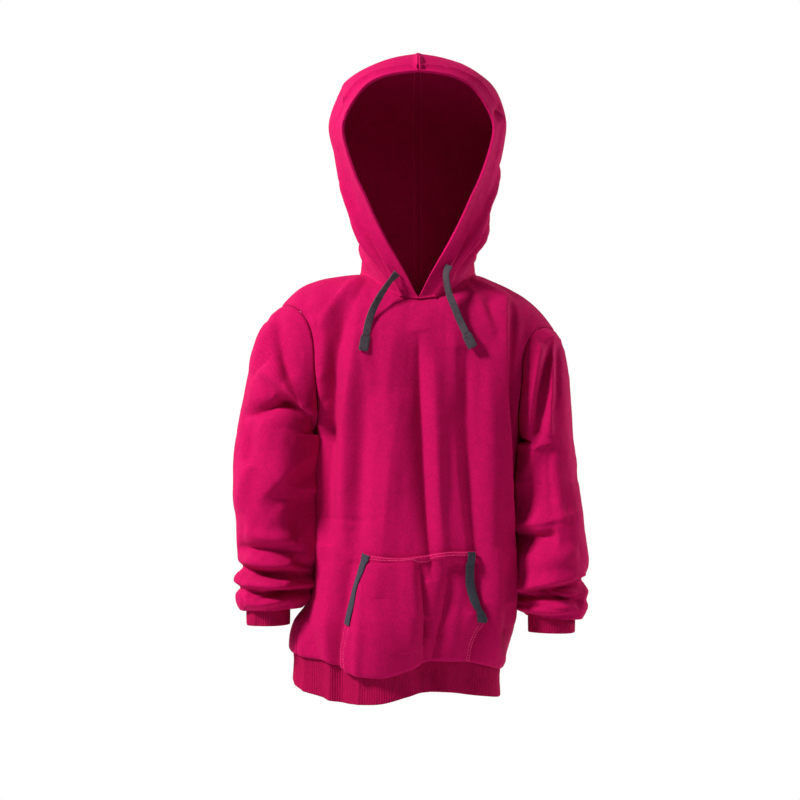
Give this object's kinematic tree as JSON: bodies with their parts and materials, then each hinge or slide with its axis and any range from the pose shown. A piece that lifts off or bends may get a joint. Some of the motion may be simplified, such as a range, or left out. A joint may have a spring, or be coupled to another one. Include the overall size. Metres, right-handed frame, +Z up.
{
  "type": "kids hoodie",
  "caption": "Child's pullover hoodie in fleece, worn hollow with the hood up, with a front pouch pocket, bound pocket openings, flat drawcords, rib hem and cuffs.",
  "frame": {"origin": "Centre of the base of the neck, midway between the upper ends of the two shoulder seams, where the wearer's shoulders carry the garment.", "axes": "+Z is up, the front of the garment faces -Y, and the right of the front view is at +X."},
  "size_m": [0.442, 0.22, 0.7995],
  "materials": {
    "fleece": "brushed fleece",
    "rib_knit": "rib knit",
    "binding_tape": "flat knit binding",
    "cord_tape": "flat woven tape"
  },
  "bodies": {
    "root": {"front_panel": "fleece", "back_panel": "fleece", "sleeve_left": "fleece", "sleeve_right": "fleece", "hood_left": "fleece", "hood_right": "fleece", "pocket": "fleece", "hem_rib": "rib_knit", "cuff_left": "rib_knit", "cuff_right": "rib_knit", "pocket_binding_left": "binding_tape", "pocket_binding_right": "binding_tape", "cord_left": "cord_tape", "cord_right": "cord_tape", "cord_end_left": "cord_tape", "cord_end_right": "cord_tape"}
  },
  "joints": []
}
